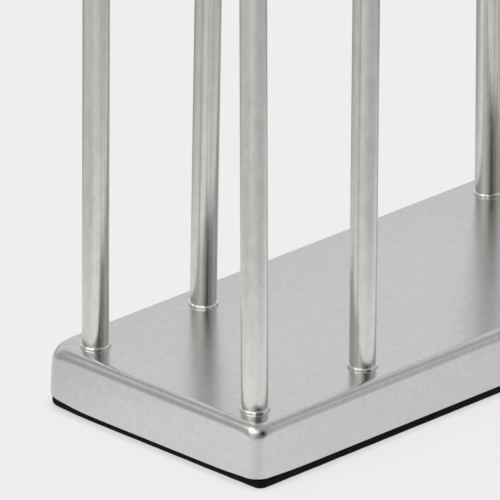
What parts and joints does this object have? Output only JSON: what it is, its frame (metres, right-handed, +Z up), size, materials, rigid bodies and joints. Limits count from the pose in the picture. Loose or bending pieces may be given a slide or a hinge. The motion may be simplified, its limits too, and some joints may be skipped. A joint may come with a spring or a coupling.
{
  "type": "umbrella stand",
  "caption": "Free-standing umbrella stand: inverted-U steel tube hoops, joined by rails near the top, stand on a weighted rectangular base with a rubber pad.",
  "frame": {"origin": "centre of the base's footprint, on the floor", "axes": "+X along the length of the base, -Y towards the front long side, +Z up"},
  "size_m": [0.29, 0.1124, 0.5],
  "materials": {
    "shell_steel": "satin nickel-plated pressed steel, fine grain, soft reflections",
    "tube_steel": "satin nickel-plated steel tube with faint streaks along it",
    "rail_steel": "satin nickel-plated round bar",
    "weld_metal": "smooth plated weld bead, brighter than the tube",
    "ballast_iron": "raw grey cast iron",
    "pad_rubber": "matte black sheet rubber",
    "fixing_steel": "zinc-plated steel"
  },
  "bodies": {
    "root": {"foot_pad": "pad_rubber", "base_shell": "shell_steel", "ballast_plate": "ballast_iron", "hoop_left_end": "tube_steel", "hoop_left_inner": "tube_steel", "hoop_right_inner": "tube_steel", "hoop_right_end": "tube_steel", "foot_weld_left_end_front": "weld_metal", "foot_weld_left_end_back": "weld_metal", "foot_weld_left_inner_front": "weld_metal", "foot_weld_left_inner_back": "weld_metal", "foot_weld_right_inner_front": "weld_metal", "foot_weld_right_inner_back": "weld_metal", "foot_weld_right_end_front": "weld_metal", "foot_weld_right_end_back": "weld_metal", "rail_front_left": "rail_steel", "rail_front_middle": "rail_steel", "rail_front_right": "rail_steel", "rail_back_left": "rail_steel", "rail_back_middle": "rail_steel", "rail_back_right": "rail_steel", "rail_weld_front_left": "weld_metal", "rail_weld_front_middle": "weld_metal", "rail_weld_front_right": "weld_metal", "rail_weld_back_left": "weld_metal", "rail_weld_back_middle": "weld_metal", "rail_weld_back_right": "weld_metal", "leg_plugs": "fixing_steel", "base_washers": "fixing_steel", "base_screws": "fixing_steel"}
  },
  "joints": []
}
